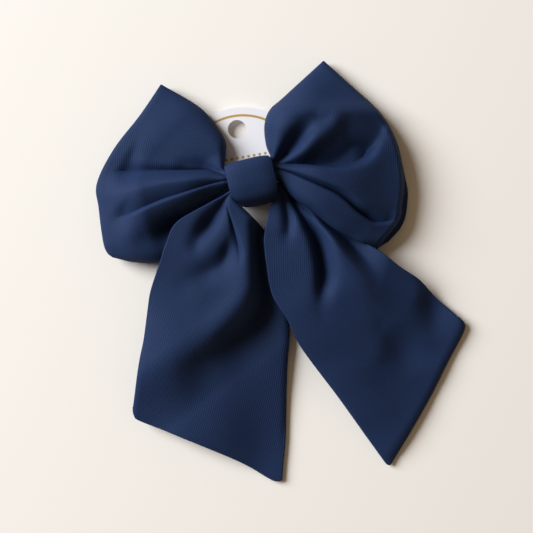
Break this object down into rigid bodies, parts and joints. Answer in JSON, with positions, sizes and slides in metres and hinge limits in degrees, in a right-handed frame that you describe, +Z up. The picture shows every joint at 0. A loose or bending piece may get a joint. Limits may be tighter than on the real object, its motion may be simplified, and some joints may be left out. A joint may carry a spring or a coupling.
{
  "type": "hair bow",
  "caption": "Gathered fabric hair bow with long angled tails, cinched by a centre wrap on an alligator clip that grips a round display card.",
  "frame": {"origin": "on the flat back face of the clip's lower arm, straight behind the middle of the centre wrap", "axes": "+Z up towards the loops' top corners, -Y out of the bow's front, +X towards the right loop as seen from the front, +Y towards the clip and card"},
  "size_m": [0.1441, 0.0267, 0.1742],
  "materials": {
    "loop_cloth": "matte twill",
    "tail_left_cloth": "matte twill",
    "tail_right_cloth": "matte twill",
    "wrap_cloth": "matte twill",
    "thread": "twisted thread",
    "clip_steel_upper": "satin",
    "clip_steel_lower": "satin",
    "clip_steel_pin": "satin",
    "clip_spring_wire": "satin",
    "card_paper": "smooth"
  },
  "bodies": {
    "bow": {"loop_band": "loop_cloth", "centre_wrap": "wrap_cloth", "gather_thread": "thread", "clip_upper_arm": "clip_steel_upper", "clip_pin": "clip_steel_pin", "clip_spring": "clip_spring_wire"},
    "clip_jaw": {"clip_lower_arm": "clip_steel_lower"},
    "card": {"display_card": "card_paper"},
    "tail_left": {"left_tail": "tail_left_cloth"},
    "tail_right": {"right_tail": "tail_right_cloth"}
  },
  "joints": [
    {"name": "clip_open", "type": "hinge", "parent": "bow", "child": "clip_jaw", "pos_m": [0.029, -0.0027, 0], "axis": [0, 0, -1], "range_deg": [0, 26], "stiffness_Nm_per_rad": 0.06, "springref_deg": -28.65, "deforming": ["clip_spring"]},
    {"name": "card_slide", "type": "slide", "parent": "bow", "child": "card", "axis": [-1, 0, 0], "range_m": [0, 0.062]},
    {"name": "left_tail_sway", "type": "hinge", "parent": "bow", "child": "tail_left", "pos_m": [-0.0095, -0.0101, -0.0033], "axis": [0, 1, 0], "range_deg": [-5, 5], "stiffness_Nm_per_rad": 0.15},
    {"name": "right_tail_sway", "type": "hinge", "parent": "bow", "child": "tail_right", "pos_m": [0.0095, -0.0101, -0.0033], "axis": [0, 1, 0], "range_deg": [-5, 5], "stiffness_Nm_per_rad": 0.15}
  ]
}
